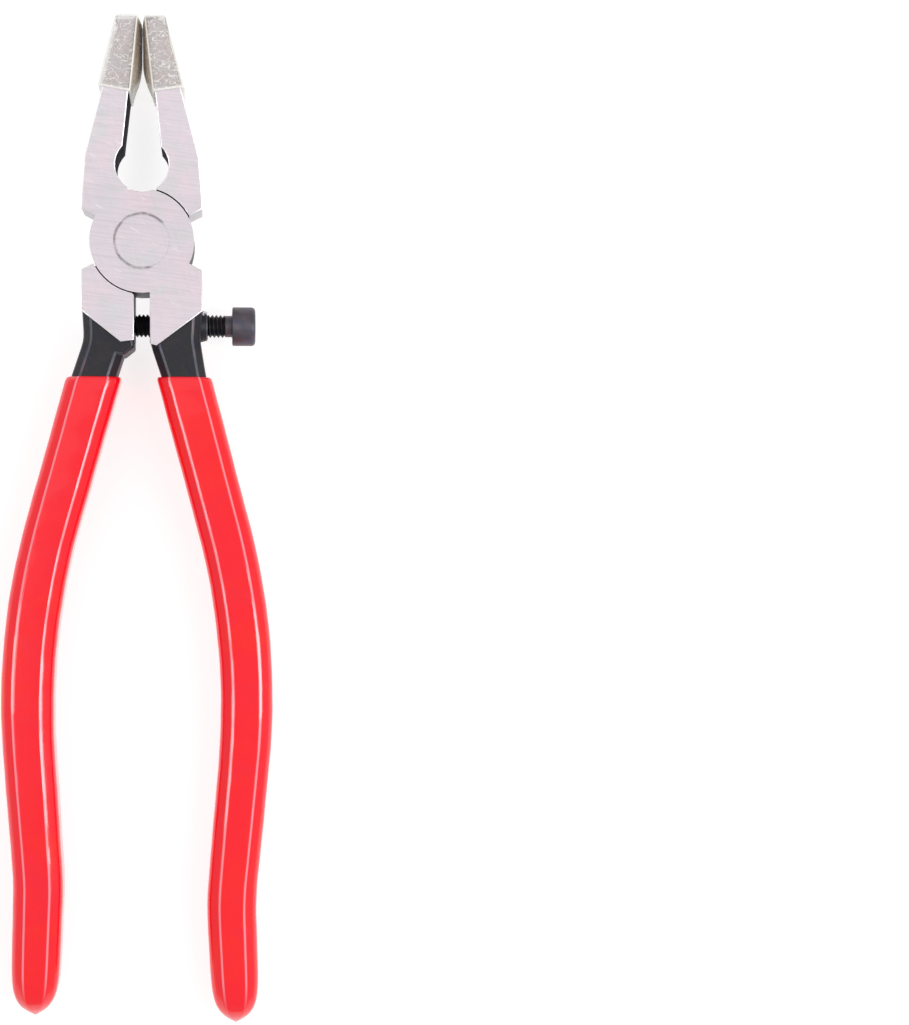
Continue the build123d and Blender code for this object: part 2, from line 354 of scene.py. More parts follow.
def dipped_red():
    """Glossy red dipped plastic: slow ripples, slight colour drift, dust pits, ridges painted paler
    as a highlight.
    """
    thin_film_highlight_tone, dust_tone = (1.0, 0.42, 0.50, 1), (0.95, 0.25, 0.27, 1)
    finish, tree, shader, place = new_finish("dipped red grip")
    patches = use(tree, blotches, Place=place, Size=0.07, Base=(1.0, 0.004, 0.017, 1),
                  Warm=(1.0, 0.010, 0.010, 1), Cool=(0.96, 0.006, 0.026, 1), Share=0.8)
    surface = use(tree, grain, Place=place, Fineness=0.9, Specks=0.05)
    ridge = put(tree, "ShaderNodeAttribute", attribute_name="ridge").outputs["Fac"]
    # Ridges painted paler pink: a painted highlight, where the dipped film is also thinner.
    thin = mix(tree, sums(tree, "MULTIPLY", ridge, 0.6), patches["Color"], thin_film_highlight_tone)
    colour = mix(tree, surface["Specks"], thin, dust_tone)
    tree.links.new(colour, shader.inputs["Base Color"])
    spread = step(tree, surface["Height"], 0.4, 1.0, 0.15, 0.26)
    tree.links.new(spread, shader.inputs["Roughness"])
    long_place = vector_sums(tree, "MULTIPLY", place, (1.0, 0.3, 1.0))
    ripple = noise(tree, long_place, 0.22, 2.0, 0.4)
    height = sums(tree, "ADD", ripple, sums(tree, "MULTIPLY", surface["Height"], 0.04))
    bump(tree, shader, height, 0.10, 0.4)
    shine(shader, Metallic=0.0, Specular_IOR_Level=0.4, IOR=1.5)
    shine(shader, Coat_Weight=0.6, Coat_Roughness=0.05)
    return finish


def cap_vinyl(name):
    """Soft clear cap: wet patches on its faces, edges and lip painted white as a highlight, tan
    where it bears on the work, painted lighter near the lip against the shade there.
    """
    white, shade_lifted_tan, tan_high = (1.0, 0.985, 0.95, 1), (0.86, 0.79, 0.66, 1), (0.60, 0.50, 0.40, 1)
    tan_from, tan_to = cap_low_y + 0.5, cap_low_y + 7.0
    plain_veil, front_veil, bearing_veil, rim_veil, wet_veil = 0.42, -0.14, 0.45, 0.60, 0.45
    finish, tree, shader, place = new_finish(name)
    part = put(tree, "ShaderNodeSeparateXYZ", {0: place}).outputs
    rim_highlight, front, bearing = (put(tree, "ShaderNodeAttribute", attribute_name=label).outputs["Fac"]
                           for label in ("rim_highlight", "front", "bearing"))
    drawn = vector_sums(tree, "MULTIPLY", place, (0.6, 1.35, 0.6))
    worm = noise(tree, drawn, 0.58, 1.5, 0.5, 1.2)
    middle = sums(tree, "ABSOLUTE", sums(tree, "SUBTRACT", worm, 0.5))
    vein = step(tree, middle, 0.008, 0.034, 1.0, 0.0)
    blister = step(tree, noise(tree, place, 1.1, 2.0, 0.5, 0.8), 0.58, 0.66)
    wet = sums(tree, "MAXIMUM", vein, sums(tree, "MULTIPLY", blister, 0.6))
    wet = sums(tree, "MULTIPLY", sums(tree, "MULTIPLY", wet, front), 0.85)
    patches = use(tree, blotches, Place=place, Size=0.25, Base=(0.72, 0.67, 0.65, 1),
                  Warm=(0.70, 0.62, 0.53, 1), Cool=(0.70, 0.68, 0.70, 1), Share=0.8)
    # The inner side's tan is painted lighter near the lip, against the shade that falls there, and
    # darker towards the tip.
    tan = mix(tree, step(tree, part[1], tan_from, tan_to), shade_lifted_tan, tan_high)
    colour = mix(tree, bearing, patches["Color"], tan)
    # Painted highlight: the rim, on the edges and lip, goes white; the wet patches go white too.
    colour = mix(tree, sums(tree, "MAXIMUM", rim_highlight, wet), colour, white)
    tree.links.new(colour, shader.inputs["Base Color"])
    veil = plain_veil
    for mask, more in ((front, front_veil), (bearing, bearing_veil), (rim_highlight, rim_veil),
                       (wet, wet_veil)):
        veil = sums(tree, "ADD", veil, sums(tree, "MULTIPLY", mask, more))
    tree.links.new(sums(tree, "MINIMUM", veil, 1.0), shader.inputs["Alpha"])
    tree.links.new(step(tree, worm, 0.3, 0.7, 0.16, 0.34), shader.inputs["Roughness"])
    relief = sums(tree, "ADD", worm, sums(tree, "MULTIPLY", wet, 0.3))
    bump(tree, shader, relief, 0.12, 0.5)
    shine(shader, Metallic=0.0, Specular_IOR_Level=0.5, IOR=1.45)
    return finish


steel_face = ground_steel("ground steel face", (0.775, 0.70, 0.755, 1), (0.83, 0.70, 0.755, 1),
                          (0.72, 0.70, 0.73, 1), 0.12, 0.44)
steel_flank = ground_steel("ground steel flank", (0.60, 0.57, 0.60, 1), (0.64, 0.58, 0.60, 1),
                           (0.55, 0.56, 0.58, 1), 1.5, 0.42)
# Broken edges: bare worn steel, painted much lighter than the faces as a highlight along them.
worn_edge_and_highlight_steel = ground_steel("bright worn steel edge with painted highlight", (0.95, 0.93, 0.95, 1), (0.97, 0.94, 0.94, 1),
                          (0.92, 0.93, 0.94, 1), 0.7, 0.34)
black_scale = forged_black("black forged scale", (0.013, 0.013, 0.017, 1), 2.2, 0.46, 0.35)
black_ridge = forged_black("rubbed black ridge", (0.085, 0.083, 0.095, 1), 2.6, 0.36, 0.55)
black_inside = forged_black("dull black inner side", (0.010, 0.008, 0.014, 1), 2.2, 0.80, 0.0, 0.12)
black_oxide = forged_black("black oxide screw", (0.090, 0.084, 0.100, 1), 3.0, 0.40, 0.55)
black_thread = forged_black("oiled black thread", (0.016, 0.016, 0.020, 1), 3.0, 0.36, 0.45)
red_dip = dipped_red()
clear_cap = cap_vinyl("clear cap vinyl")


# ---------------------------------------------------------------- mesh helpers

def weld(work, dist):
    """Joins points that lie together and drops what then has no length or area."""
    bmesh.ops.remove_doubles(work, verts=work.verts, dist=dist)
    bmesh.ops.dissolve_degenerate(work, edges=work.edges, dist=dist)


def piece(name, points, faces, finishes, body, nodes, sharp):
    """A finished piece from points in millimetres: outward, smooth, riding on its body."""
    mesh = bpy.data.meshes.new(name)
    mesh.from_pydata([tuple(c * MM for c in p) for p in points], [], faces)
    work = bmesh.new()
    work.from_mesh(mesh)
    weld(work, WELD)
    bmesh.ops.recalc_face_normals(work, faces=work.faces)
    work.to_mesh(mesh)
    work.free()
    return set_out(name, mesh, finishes, body, nodes, sharp)


def set_out(name, mesh, finishes, body, nodes, sharp=None):
    """Puts a mesh in the scene as a named piece with its finishes, in place of CAD nodes."""
    if sharp:
        mesh.shade_smooth()
        mesh.set_sharp_from_angle(angle=math.radians(sharp))
    if not mesh.materials:
        for finish in finishes:
            mesh.materials.append(finish)
    thing = bpy.data.objects.new(name, mesh)
    bpy.context.scene.collection.objects.link(thing)
    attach(thing, body)
    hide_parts(*nodes)
    return thing


def set_mask(mesh, label, values):
    """Gives each point of a mesh a value that its finish reads."""
    layer = mesh.attributes.new(label, "FLOAT", "POINT")
    layer.data.foreach_set("value", np.array(values, np.float32))


def rings_to_faces(rings, around):
    """Quads between rings of equal length, closed around."""
    faces = []
    for r in range(rings - 1):
        for i in range(around):
            j = (i + 1) % around
            here, beyond = r * around, (r + 1) * around
            faces.append((here + i, here + j, beyond + j, beyond + i))
    return faces


def soft(share):
    """A share held between 0 and 1 and eased at both ends."""
    share = min(1.0, max(0.0, share))
    return share * share * (3 - 2 * share)


def rounded_line(corners, radii):
    """Points of an open line whose inner corners are rounded with arcs."""
    arc_steps = 12
    points = [corners[0]]
    for before, corner, after, radius in zip(corners, corners[1:], corners[2:], radii):
        p, q, r = Vector(before), Vector(corner), Vector(after)
        back, on = (p - q).normalized(), (r - q).normalized()
        half = back.angle(on) / 2
        centre = q + (back + on).normalized() * (radius / math.sin(half))
        reach = radius / math.tan(half)
        start, end = q + back * reach - centre, q + on * reach - centre
        sweep = start.angle(end)
        for k in range(arc_steps + 1):
            share = k / arc_steps
            arm = start * math.sin((1 - share) * sweep) + end * math.sin(share * sweep)
            points.append(tuple(centre + arm / math.sin(sweep)))
    points.append(corners[-1])
    return points


# ---------------------------------------------------------------- levers

# A lever's finishes, by their places in its list
SCALE, FACE, FLANK, EDGE_AND_HIGHLIGHT, RIDGE, INSIDE = range(6)
lever_finishes = [black_scale, steel_face, steel_flank, worn_edge_and_highlight_steel, black_ridge, black_inside]

# Edges are left as they are, broken bright (bare worn steel painted lighter as a highlight), broken
# finely and bright beside the open seam, or rubbed black
PLAIN, BRIGHT, BY_SEAM, RUBBED = range(4)
edge_breaks = ((BRIGHT, 0.18, EDGE_AND_HIGHLIGHT), (BY_SEAM, 0.08, EDGE_AND_HIGHLIGHT), (RUBBED, 0.30, RIDGE))


def lever_finish(spot, way, side):
    """Finish for one face of a lever, from its middle in millimetres and the way it looks."""
    shank_from, jaw_from = -22.5, 8.5
    head_low, head_high, head_out = -14.6, 10.0, 9.0
    x, y, z = spot
    if y < shank_from:
        return SCALE
    if abs(way.z) > 0.8 and abs(z) > head_half - 0.05:
        return FACE
    if y > jaw_from and x * side > 0 and (way.x * side > 0.3 or way.y > 0.7):
        return FLANK
    outside = abs(x) > head_out and head_low < y < head_high
    looks_out = way.x * x > 0 and abs(way.x) > 0.7 and abs(z) <= head_half and abs(x) > 11.0
    if outside and (looks_out or abs(way.y) > 0.7):
        return FLANK
    looks_in = way.x * side < -0.3 and abs(way.z) < 0.3
    return INSIDE if y > jaw_from and looks_in else SCALE


def edge_kind(edge):
    """How one edge of a lever is broken."""
    least_turn, least_len = math.radians(22), 0.03
    hole_reach, seam_low, seam_high = rivet_r + 0.4, 10.3, 11.2
    shank_top_y = -8.0
    if not edge.is_convex or edge.calc_face_angle(0) < least_turn:
        return PLAIN
    spot = (edge.verts[0].co + edge.verts[1].co) / 2 / MM
    reach = math.hypot(spot.x, spot.y)
    if reach < hole_reach or edge.calc_length() < least_len * MM:
        return PLAIN
    bright = any(face.material_index in (FACE, FLANK) for face in edge.link_faces)
    if seam_low < reach < seam_high and bright:
        return BY_SEAM if spot.x > 0 and spot.y > 0 else PLAIN
    if bright:
        return BRIGHT
    return RUBBED if spot.y < shank_top_y else PLAIN


def lever_piece(name, node, side, body):
    """The lever's own steel, with its edges broken and each face given its finish."""
    flat_turn, sharp_turn = math.radians(0.6), math.radians(28)
    work = bmesh.new()
    work.from_mesh(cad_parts[node].data)
    weld(work, LEVER_WELD)
    bmesh.ops.dissolve_limit(work, angle_limit=flat_turn, verts=work.verts, edges=work.edges)
    work.normal_update()
    for face in work.faces:
        face.material_index = lever_finish(face.calc_center_median() / MM, face.normal, side)
    wear = work.edges.layers.int.new("wear")
    for edge in work.edges:
        edge[wear] = edge_kind(edge)
    for kind, width, finish in edge_breaks:
        edges = [edge for edge in work.edges if edge[wear] == kind]
        for edge in edges:
            edge[wear] = PLAIN
        bmesh.ops.bevel(work, geom=edges, offset=width * MM, offset_type="OFFSET",
                        segments=2, profile=0.6, affect="EDGES", clamp_overlap=False,
                        material=finish, loop_slide=True)
    weld(work, LEVER_WELD)
    for edge in work.edges:
        kinds = {face.material_index in (EDGE_AND_HIGHLIGHT, RIDGE) for face in edge.link_faces}
        edge.smooth = len(kinds) == 1 and edge.calc_face_angle(0) < sharp_turn
    # Faces that run round a bore are split, so that nothing fills the bore
    bmesh.ops.triangulate(work, faces=[face for face in work.faces if len(face.verts) > 4])
    for face in work.faces:
        face.smooth = True
    mesh = bpy.data.meshes.new(name)
    work.to_mesh(mesh)
    work.free()
    return set_out(name, mesh, lever_finishes, body, [node])


lever_piece("lever_left_jaw", "lever_a", LEFT, "lever_a_body")
lever_piece("lever_right_jaw", "lever_b", RIGHT, "lever_b_body")


# ---------------------------------------------------------------- rivet

def lathe(profile, around):
    """Points and faces of a profile (height, radius) turned about Z, closed at both ends."""
    points, faces = [], []
    for along, radius in profile:
        for i in range(around):
            turn = 2 * math.pi * i / around
            points.append((radius * math.cos(turn), radius * math.sin(turn), along))
    faces += rings_to_faces(len(profile), around)
    faces.append(tuple(range(around)))
    faces.append(tuple(range((len(profile) - 1) * around, len(profile) * around)))
    return points, faces


half_profile = [
    (head_half, rivet_r * 0.5),
    (head_half, rivet_r - 0.9),
    (head_half - 0.02, rivet_r - rivet_rim),
    (head_half - rivet_rim, rivet_r - 0.04),
    (head_half - rivet_csk, rivet_shaft_r),
]
rivet_profile = half_profile + [(-z, r) for z, r in half_profile[::-1]]
rivet_points, rivet_faces = lathe(rivet_profile, 96)
piece("pivot_rivet_ground", rivet_points, rivet_faces, [steel_face], "lever_a_body",
      ["pivot_rivet"], 30.0)


# ---------------------------------------------------------------- grips

def grip_section(half_w, half_t, size, blunt):
    """Points (across, up, mask of the painted ridge highlight) of a flat top, slanted facets and
    flat sides.

    Blunt, from 0 to 1, rounds the corners further.
    """
    corner_steps = 8
    slant, drop = slant_w * size, slant_h * size
    side_top = (half_w, half_t - drop)
    ridge_at = (half_w - slant, half_t)
    quarter = [(half_w, 0.0, 0.0)]
    corners = [((half_w, 0.0), side_top, ridge_at, shoulder_cut, 0.0),
               (side_top, ridge_at, (0.0, half_t), ridge_cut, 1.0)]
    for before, corner, after, cut, mask in corners:
        cut = (cut + blunt * (blunt_cut - cut)) * size
        start, stop = [
            tuple(c + (o - c) * cut / math.dist(corner, other) for c, o in zip(corner, other))
            for other in (before, after)
        ]
        for k in range(corner_steps + 1):
            t = k / corner_steps
            x, z = (start[i] * (1 - t) ** 2 + 2 * corner[i] * t * (1 - t) + stop[i] * t ** 2
                    for i in (0, 1))
            quarter.append((x, z, mask if 3 <= k <= 5 else 0.0))
    quarter.append((0.0, half_t, 0.0))
    back = quarter[::-1]
    ring = quarter[:-1] + [(-x, z, m) for x, z, m in back[:-1]]
    ring += [(-x, -z, m) for x, z, m in quarter[:-1]] + [(x, -z, m) for x, z, m in back[:-1]]
    return ring


def grip_rows(tip):
    """Places along a grip and its size there: rolled mouth, long even run, drawn-out end."""
    mouth_run, run_steps, end_steps = 1.0, 60, 24
    rows = [(mouth_y - 2.2, 0.77), (mouth_y - 0.5, 0.80), (mouth_y - 0.12, 0.84),
            (mouth_y, 0.885), (mouth_y, 0.93), (mouth_y - 0.15, 0.968), (mouth_y - 0.45, 0.99),
            (mouth_y - mouth_run, 1.0)]
    run = tip + end_len - mouth_y + mouth_run
    rows += [(mouth_y - mouth_run + run * k / run_steps, 1.0) for k in range(1, run_steps + 1)]
    for k in range(1, end_steps + 1):
        left = end_len * (1 - k / (end_steps + 1)) ** 2 + 0.06 * k / end_steps
        rows.append((tip + left, (1 - math.exp(-end_steep * left)) ** 1.08))
    return rows


def grip_piece(name, node, side, middle, body):
    """A dipped grip: thin rolled mouth, long bend, and an end drawn out by the last drip."""
    fade_from, fade_len = 3.0, 6.0
    edges = []
    for way in (-1, 1):
        corners = [(x + way * w / 2, y) for (x, y), w in zip(middle, grip_w)]
        line = rounded_line(corners, [bend_r, waist_r])
        ys = np.array([p[1] for p in line])[::-1]
        xs = np.array([p[0] for p in line])[::-1]
        edges.append((ys, xs))
    end_y = middle[-1][1]
    tip = end_y - nub_h - drip
    rows = grip_rows(tip)
    points, ridges = [], []
    for y, share in rows:
        at = max(y, end_y)
        low_x = float(np.interp(at, *edges[0]))
        high_x = float(np.interp(at, *edges[1]))
        half_w, half_t = (high_x - low_x) / 2, grip_t / 2
        mid = (low_x + high_x) / 2
        lumps = 1 + 0.004 * math.sin(y * 0.31 + side) + 0.003 * math.sin(y * 0.83)
        size = share * (lumps if share == 1.0 else 1.0)
        blunt = 1 - share if y < tip + end_len else 0.0
        fade = min(1.0, max(0.0, (y - tip - fade_from) / fade_len))
        for across, up, mask in grip_section(half_w * size, half_t * size, size, blunt):
            points.append((side * (mid + across), y, up))
            ridges.append(mask * fade)
    around = len(points) // len(rows)
    faces = rings_to_faces(len(rows), around)
    points.append((side * middle[-1][0], tip, 0))
    last = len(points) - 1 - around
    faces += [(last + i, last + (i + 1) % around, len(points) - 1) for i in range(around)]
    # Inner end of the mouth, hidden on the steel
    faces.append(tuple(range(around)))
    thing = piece(name, points, faces, [red_dip], body, [node], 60.0)
    # The ridge mask says where the finish paints its highlight along the grip.
    set_mask(thing.data, "ridge", ridges + [0.0])
    return thing


grip_piece("grip_right_dipped", "grip_a", RIGHT, middle_a, "lever_a_body")
grip_piece("grip_left_dipped", "grip_b", LEFT, middle_b, "lever_b_body")


# ---------------------------------------------------------------- jaw caps

def arc_through(points):
    """The arc through three points, as a function that gives its height at a place along."""
    (x1, y1), (x2, y2), (x3, y3) = points
    a = 2 * (x1 * (y2 - y3) - y1 * (x2 - x3) + x2 * y3 - x3 * y2)
    s1, s2, s3 = (x * x + y * y for x, y in points)
    cx = (s1 * (y2 - y3) + s2 * (y3 - y1) + s3 * (y1 - y2)) / a
    cy = (s1 * (x3 - x2) + s2 * (x1 - x3) + s3 * (x2 - x1)) / a
    radius = math.hypot(x1 - cx, y1 - cy)
    sign = 1 if y2 > cy else -1
    return lambda x: cy + sign * math.sqrt(max(0.0, radius ** 2 - (x - cx) ** 2))


flare_z = arc_through(flare)


def jaw_inner(y):
    """How far the jaw's inner side stands from the middle."""
    return inner_tip_x + (tip_y - y) * jaw_lean


def jaw_outer(y):
    """How far the jaw's outer side stands from the middle."""
    top = inner_tip_x + tip_w
    return top + (tip_y - y) * (knee[0] - top) / (tip_y - knee[1])


def cap_ring(low, share, grow, top, radius):
    """One ring of points round a jaw, on its right-hand side.

    It stands off the steel by grow and lies at share of the way from the slanting lip, which low
    lifts, to the level top. Its corners have this radius. The inner side is thin at the lip and
    crowned above it, and swells at mid thickness until it nearly meets the other cap.
    """
    corner_steps, side_steps = 5, 6
    y_in = cap_low_y + low + jaw_inner(cap_low_y) * cap_slope
    y_out = cap_low_y + low + jaw_outer(cap_low_y) * cap_slope
    y_in, y_out = y_in + (top - y_in) * share, y_out + (top - y_out) * share
    risen = soft((y_in - cap_low_y) / lip_rise)
    inner_grow = max(grow * (0.5 + 0.5 * risen), min(grow, crown_from))
    x_in = jaw_inner(y_in) - inner_grow * math.hypot(1, jaw_lean)
    x_out = jaw_outer(y_out) + grow
    z_in, z_out = flare_z(min(y_in, tip_y)) + grow, flare_z(min(y_out, tip_y)) + grow
    corners = [((x_out, z_out), (x_in + radius, z_in)),
               ((x_in, z_in), (x_in, -z_in + radius)),
               ((x_in, -z_in), (x_out - radius, -z_out)),
               ((x_out, -z_out), (x_out, z_out - radius))]
    ring = []
    for quarter, ((x, z), (next_x, next_z)) in enumerate(corners):
        cx = x - radius if quarter in (0, 3) else x + radius
        cz = z - math.copysign(radius, z)
        for k in range(corner_steps + 1):
            turn = math.pi / 2 * (quarter + k / corner_steps)
            px, pz = cx + radius * math.cos(turn), cz + radius * math.sin(turn)
            ring.append((px, pz))
        for k in range(1, side_steps):
            t = k / side_steps
            ring.append((px + (next_x - px) * t, pz + (next_z - pz) * t))
    points = []
    fullness = max(0.0, grow - crown_from) / (1 - crown_from) * risen
    ease = soft((tip_y - y_in - squash_len) / ease_len)
    swell = (x_in - squash_gap / 2) * (1 - ease_share * ease) * fullness
    for px, pz in ring:
        s = (px - x_in) / (x_out - x_in)
        edgeward = min(1.0, (pz / z_in) ** 2)
        bulge = cap_crown * fullness * edgeward - swell * (1 - edgeward)
        points.append((px + bulge * (1 - s) ** 3, y_in + (y_out - y_in) * s, pz))
    return points


def cap_piece(name, node, side, body):
    """A soft cap: outer skin with rounded edges and a rolled lip, and inner skin off the steel."""
    wall, skin, lip = cap_wall * 0.97, 0.07, 0.6
    skin_r, corner_r, top_r = 0.12, 0.5, 0.55
    wall_steps, top_steps, inner_steps = 18, 5, 10
    top, inner_top = tip_y + cap_wall, tip_y + skin
    # Each ring's lift at the lip, share of the height, stand-off, top and corner radius
    plan = [(0.0, 0.0, skin, inner_top, skin_r), (0.0, 0.0, 0.30, top, 0.2),
            (0.0, 0.0, 0.62, top, 0.4), (0.05, 0.0, 0.82, top, corner_r),
            (0.25, 0.0, 0.93, top, corner_r), (lip, 0.0, wall, top, corner_r)]
    plan += [(lip, k / wall_steps, wall, top - top_r, corner_r) for k in range(1, wall_steps + 1)]
    for k in range(1, top_steps + 1):
        turn = math.pi / 2 * k / top_steps
        plan.append((lip, 1.0, wall - top_r * (1 - math.cos(turn)),
                     top - top_r + top_r * math.sin(turn), corner_r))
    points = [point for row in plan for point in cap_ring(*row)]
    around = len(points) // len(plan)
    faces = rings_to_faces(len(plan), around)
    faces.append(tuple(range((len(plan) - 1) * around, len(plan) * around)))
    # Inner skin, from the lip up to the steel's tip
    first = len(points)
    inner_plan = [(0.0, k / inner_steps, skin, inner_top, skin_r) for k in range(inner_steps + 1)]
    points += [point for row in inner_plan for point in cap_ring(*row)]
    inner_faces = rings_to_faces(len(inner_plan), around)
    faces += [tuple(i + first for i in face[::-1]) for face in inner_faces]
    faces.append(tuple(range(first + inner_steps * around, first + (inner_steps + 1) * around)))
    placed = [(side * x, y, z) for x, y, z in points]
    thing = piece(name, placed, faces, [clear_cap], body, [node], 50.0)
    paint_cap(thing.data, side)


def paint_cap(mesh, side):
    """Masks on a cap's points: rim on its edges and lip, where the finish paints a white highlight,
    front on its faces, bearing inside.
    """
    edge_band, lip_band, face_band, inner_off = 0.46, 0.35, 1.2, 0.25
    masks = {"rim_highlight": [], "front": [], "bearing": []}
    for vertex in mesh.vertices:
        x, y, z = vertex.co / MM
        x *= side
        low = cap_low_y + x * cap_slope
        inner = x < jaw_inner(y) - inner_off
        outer = x > jaw_outer(y) + cap_wall - edge_band
        face = flare_z(min(y, tip_y)) + cap_wall - abs(z)
        top = y > tip_y + cap_wall - edge_band
        sides = inner + outer + top
        on_edge = sides + (face < edge_band) > 1
        on_lip = abs(y - low) < lip_band
        # The rim marks the edges and lip that the finish paints white as a highlight.
        masks["rim_highlight"].append(1.0 if on_edge or on_lip else 0.0)
        masks["front"].append(1.0 if face < face_band and sides == 0 else 0.0)
        masks["bearing"].append(1.0 if inner else 0.0)
    for label, values in masks.items():
        set_mask(mesh, label, values)


cap_piece("cap_left_jaw", "jaw_cap_a", LEFT, "lever_a_body")
cap_piece("cap_right_jaw", "jaw_cap_b", RIGHT, "lever_b_body")


# ---------------------------------------------------------------- stop screw

def thread_tree():
    """Geometry nodes of a closed, threaded bar along X with tapered ends."""
    crest_from, crest_over, end_taper = 0.12, 0.72, 5.0
    tree = bpy.data.node_groups.new("screw thread", "GeometryNodeTree")
    floats = [("Start", screw_tip_x), ("End", screw_seat_x - screw_neck_len),
              ("Height", screw_y), ("Root Radius", thread_root_r),
              ("Crest Radius", screw_r - thread_play), ("Neck Radius", screw_neck_r),
              ("Pitch", thread_pitch)]
    for label, value in floats:
        socket = tree.interface.new_socket(label, in_out="INPUT", socket_type="NodeSocketFloat")
        socket.default_value = value * MM
    for label, value in (("Steps", 8), ("Sides", 40)):
        socket = tree.interface.new_socket(label, in_out="INPUT", socket_type="NodeSocketInt")
        socket.default_value = value
    tree.interface.new_socket("Finish", in_out="INPUT", socket_type="NodeSocketMaterial")
    tree.interface.new_socket("Geometry", in_out="OUTPUT", socket_type="NodeSocketGeometry")
    given = tree.nodes.new("NodeGroupInput").outputs

    def m(operation, first, second=0.0):
        """Result of one math node in this tree."""
        return sums(tree, operation, first, second)

    length = m("SUBTRACT", given["End"], given["Start"])
    turns = m("ADD", m("CEIL", m("DIVIDE", length, given["Pitch"])), 2.0)
    rows = m("ADD", m("MULTIPLY", turns, given["Steps"]), 1.0)
    grid = put(tree, "GeometryNodeMeshGrid", {"Size X": 1.0, "Size Y": 1.0, "Vertices X": rows,
                                              "Vertices Y": m("ADD", given["Sides"], 1.0)})
    position = put(tree, "GeometryNodeInputPosition").outputs[0]
    spot = put(tree, "ShaderNodeSeparateXYZ", {0: position}).outputs
    along = m("MULTIPLY", m("ADD", spot[0], 0.5), turns)
    round_share = m("ADD", spot[1], 0.5)
    wound_turns = m("SUBTRACT", m("ADD", along, round_share), 1.5)
    raw = m("ADD", given["Start"], m("MULTIPLY", wound_turns, given["Pitch"]))
    phase = m("FRACT", m("ADD", along, 0.001))
    flank = m("SUBTRACT", 1.0, m("ABSOLUTE", m("SUBTRACT", m("MULTIPLY", phase, 2.0), 1.0)))
    above = m("DIVIDE", m("SUBTRACT", flank, crest_from), crest_over)
    rise = put(tree, "ShaderNodeClamp", {0: above}).outputs[0]
    depth = m("SUBTRACT", given["Crest Radius"], given["Root Radius"])
    radius = m("ADD", given["Root Radius"], m("MULTIPLY", rise, depth))
    for room, base in ((m("SUBTRACT", raw, given["Start"]), given["Root Radius"]),
                       (m("SUBTRACT", given["End"], raw), given["Neck Radius"])):
        steep = m("ADD", base, m("MULTIPLY", room, end_taper))
        limit = m("MINIMUM", m("ADD", base, room), steep)
        radius = m("MINIMUM", radius, m("MAXIMUM", limit, 0.0))
    x = m("MINIMUM", m("MAXIMUM", raw, given["Start"]), given["End"])
    turn = m("MULTIPLY", round_share, 2 * math.pi)
    y = m("ADD", given["Height"], m("MULTIPLY", radius, m("COSINE", turn)))
    z = m("MULTIPLY", radius, m("SINE", turn))
    place = put(tree, "ShaderNodeCombineXYZ", {0: x, 1: y, 2: z}).outputs[0]
    wound = put(tree, "GeometryNodeSetPosition",
                {"Geometry": grid.outputs["Mesh"], "Position": place})
    joined = put(tree, "GeometryNodeMergeByDistance",
                 {"Geometry": wound.outputs[0], "Distance": WELD})
    real = put(tree, "GeometryNodeRealizeInstances", {"Geometry": joined.outputs[0]})
    dressed = put(tree, "GeometryNodeSetMaterial",
                  {"Geometry": real.outputs[0], "Material": given["Finish"]})
    put(tree, "NodeGroupOutput", {0: dressed.outputs[0]})
    return tree


def from_nodes(name, tree, values):
    """Plain mesh that a geometry node tree makes with these input values."""
    holder = bpy.data.objects.new(name, bpy.data.meshes.new(name))
    bpy.context.scene.collection.objects.link(holder)
    modifier = holder.modifiers.new(name, "NODES")
    modifier.node_group = tree
    for item in tree.interface.items_tree:
        if item.in_out == "INPUT" and item.name in values:
            modifier[item.identifier] = values[item.name]
    solved = holder.evaluated_get(bpy.context.evaluated_depsgraph_get())
    made = bpy.data.meshes.new_from_object(solved)
    holder.modifiers.remove(modifier)
    bpy.data.objects.remove(holder)
    work = bmesh.new()
    work.from_mesh(made)
    bmesh.ops.recalc_face_normals(work, faces=work.faces)
    work.to_mesh(made)
    work.free()
    return made


thread_mesh = from_nodes("stop_screw_thread", thread_tree(), {"Finish": black_thread})
set_out("stop_screw_thread", thread_mesh, [black_thread], "screw_body",
        ["stop_screw"], 40.0)


def screw_head():
    """Neck and cap head with a rounded outer edge and a hex socket."""
    around = 72
    corner_reach = 1.148
    neck, seat = screw_seat_x - screw_neck_len, screw_seat_x
    outer, floor = screw_seat_x + head_h, screw_seat_x + head_h - socket_depth
    neck_rows = [(neck - 0.02, screw_neck_r * 0.9), (neck + 0.1, screw_neck_r),
                 (seat - 0.2, screw_neck_r), (seat, screw_neck_r + 0.2)]
    head_rows = [(seat, head_r - 0.3), (seat + 0.08, head_r - 0.12), (seat + 0.3, head_r),
                 (outer - 0.75, head_r), (outer - 0.5, head_r - 0.05),
                 (outer - 0.22, head_r - 0.22), (outer - 0.05, head_r - 0.5),
                 (outer, head_r - 0.75), (outer, 2.62), (outer - 0.16, 2.42)]
    hex_rows = [(outer - 0.22, socket_af / 2), (floor, socket_af / 2 - 0.02)]
    drill_rows = [(floor - 0.05, 1.6), (floor - 0.75, 0.25)]
    turns = [2 * math.pi * i / around for i in range(around)]

    def ring(along, radii):
        """Points round the screw's axis, with a radius for each."""
        return [(along, screw_y + radius * math.cos(t), radius * math.sin(t))
                for t, radius in zip(turns, radii)]

    def hexagon(flats):
        """A hexagon's radii, its corners cut a little short."""
        local = [(t + math.pi / 6) % (math.pi / 3) - math.pi / 6 for t in turns]
        return [min(flats / math.cos(t), flats * corner_reach) for t in local]

    rings = [ring(along, [radius] * around) for along, radius in neck_rows + head_rows]
    rings += [ring(along, hexagon(flats)) for along, flats in hex_rows]
    rings += [ring(along, [radius] * around) for along, radius in drill_rows]
    points = [point for each in rings for point in each]
    faces = rings_to_faces(len(rings), around)
    faces.append(tuple(range(around)))
    faces.append(tuple(range((len(rings) - 1) * around, len(rings) * around)))
    piece("stop_screw_head", points, faces, [black_oxide], "screw_body",
          ["stop_screw"], 32.0)


screw_head()


# ---------------------------------------------------------------- floor, light and camera

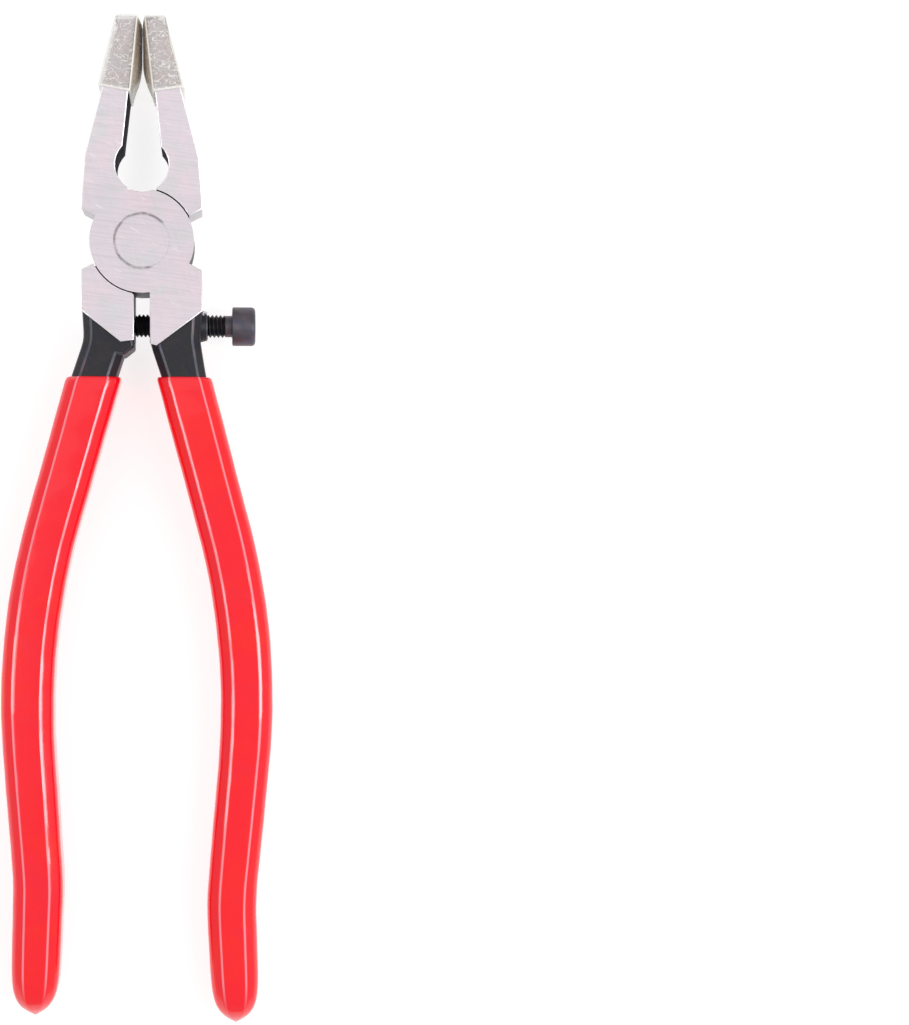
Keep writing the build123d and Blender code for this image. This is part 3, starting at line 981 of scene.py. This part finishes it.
def floor_under_tool():
    """Pale sheet that the caps' tips and the grips' ends rest on."""
    cap_low, cap_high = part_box("jaw_cap_a")
    grip_low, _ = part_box("grip_a")
    slope = (grip_low.z - cap_low.z) / (grip_low.y - cap_high.y)
    reach, gap = 6.0, 0.4 * MM
    points = []
    for x, y in ((-reach, -reach), (reach, -reach), (reach, reach), (-reach, reach)):
        points.append((x, y, cap_low.z + (y - cap_high.y) * slope - gap))
    mesh = bpy.data.meshes.new("pale_floor")
    mesh.from_pydata(points, [], [(0, 1, 2, 3)])
    sheet = bpy.data.objects.new("pale_floor", mesh)
    bpy.context.scene.collection.objects.link(sheet)
    finish, tree, shader, place = new_finish("pale matt floor")
    darker, lighter = (0.40, 0.40, 0.40, 1), (0.42, 0.42, 0.42, 1)
    tone = mix(tree, noise(tree, place, 0.02, 3.0), darker, lighter)
    tree.links.new(tone, shader.inputs["Base Color"])
    shine(shader, Roughness=0.9, Specular_IOR_Level=0.1)
    shine(shader, Emission_Color=(1, 1, 1, 1), Emission_Strength=0.74)
    mesh.materials.append(finish)


def soft_light(name, place, size, watts, aim):
    """White rectangular light of size (width, length) that faces a point."""
    lamp = bpy.data.lights.new(name, "AREA")
    lamp.shape = "RECTANGLE"
    lamp.size, lamp.size_y = size
    lamp.energy = watts
    thing = bpy.data.objects.new(name, lamp)
    thing.location = place
    thing.rotation_euler = (Vector(aim) - Vector(place)).to_track_quat("-Z", "Y").to_euler()
    bpy.context.scene.collection.objects.link(thing)


def studio():
    """White surroundings, with a large soft box above and a strip on each side."""
    white, strength = (1.0, 0.995, 0.99, 1), 0.49
    middle, handles_y, strip_up = (0.0, -0.055, 0.0), -0.12, 0.66
    scene = bpy.context.scene
    world = bpy.data.worlds.new("white studio")
    world.use_nodes = True
    background = world.node_tree.nodes["Background"]
    background.inputs[0].default_value = white
    background.inputs[1].default_value = strength
    scene.world = world
    scene.view_settings.view_transform = "Standard"
    soft_light("overhead box", (-0.25, 0.35, 0.95), (0.9, 0.9), 0.97, middle)
    for name, x, width, watts, aim_x in (("right strip", 0.62, 0.16, 3.9, 0.02),
                                         ("left strip", -0.56, 0.12, 1.7, -0.02)):
        soft_light(name, (x, handles_y, strip_up), (width, 0.9), watts, (aim_x, handles_y, 0.0))


def camera():
    """Straight above the handles' roots, turned a little to bring the tool to the frame's left."""
    sensor, focal_length = 36.0, 81.1317
    eye = Vector((0.0147, -0.0553, 0.480))
    turn = math.radians(5.93)
    view = bpy.data.cameras.new("main camera")
    view.sensor_width = sensor
    view.lens = focal_length
    view.clip_start, view.clip_end = 0.01, 20.0
    thing = bpy.data.objects.new("main camera", view)
    thing.location = eye
    thing.rotation_euler = (0.0, -turn, 0.0)
    bpy.context.scene.collection.objects.link(thing)
    bpy.context.scene.camera = thing


floor_under_tool()
studio()
camera()

bpy.context.view_layer.update()
